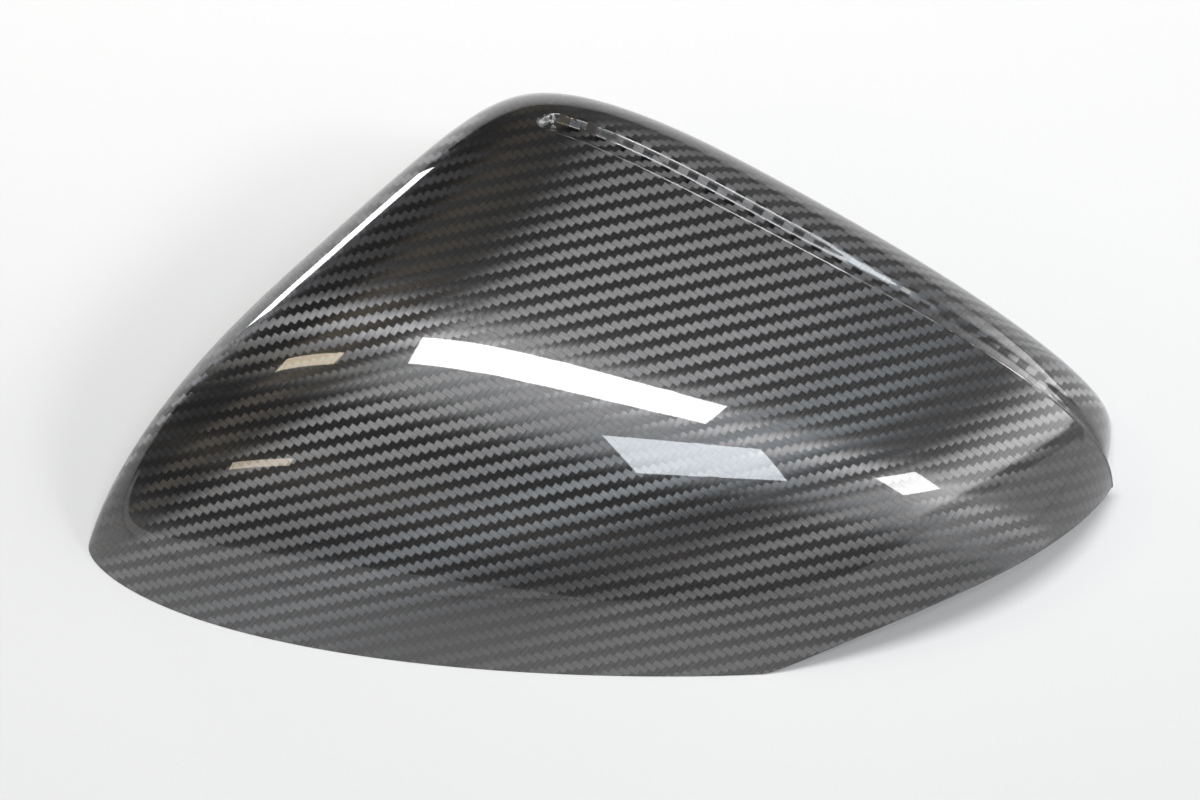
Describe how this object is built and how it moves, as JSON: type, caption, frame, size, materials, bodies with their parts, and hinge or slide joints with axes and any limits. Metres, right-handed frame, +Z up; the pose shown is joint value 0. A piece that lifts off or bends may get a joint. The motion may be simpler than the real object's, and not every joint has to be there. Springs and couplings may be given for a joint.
{
  "type": "wing mirror cover",
  "caption": "Domed carbon twill cover for a car's wing mirror: moulded shell with a rolled rear lip, a water groove, an arm relief in the rim and snap clips inside.",
  "frame": {"origin": "middle of the cover's box in plan, on the plane that its trimmed rim rests on", "axes": "+X from the outer tip towards the car, +Y from the front of the dome towards its rear lip, +Z up out of the dome"},
  "size_m": [0.2616, 0.1644, 0.0711],
  "materials": {
    "carbon_twill": "2x2 carbon twill under clear gloss",
    "clip_plastic": "moulded black nylon"
  },
  "bodies": {
    "root": {"carbon_shell": "carbon_twill", "front_clip_outer": "clip_plastic", "front_clip_inner": "clip_plastic", "rear_clip_outer": "clip_plastic", "rear_clip_inner": "clip_plastic"}
  },
  "joints": []
}
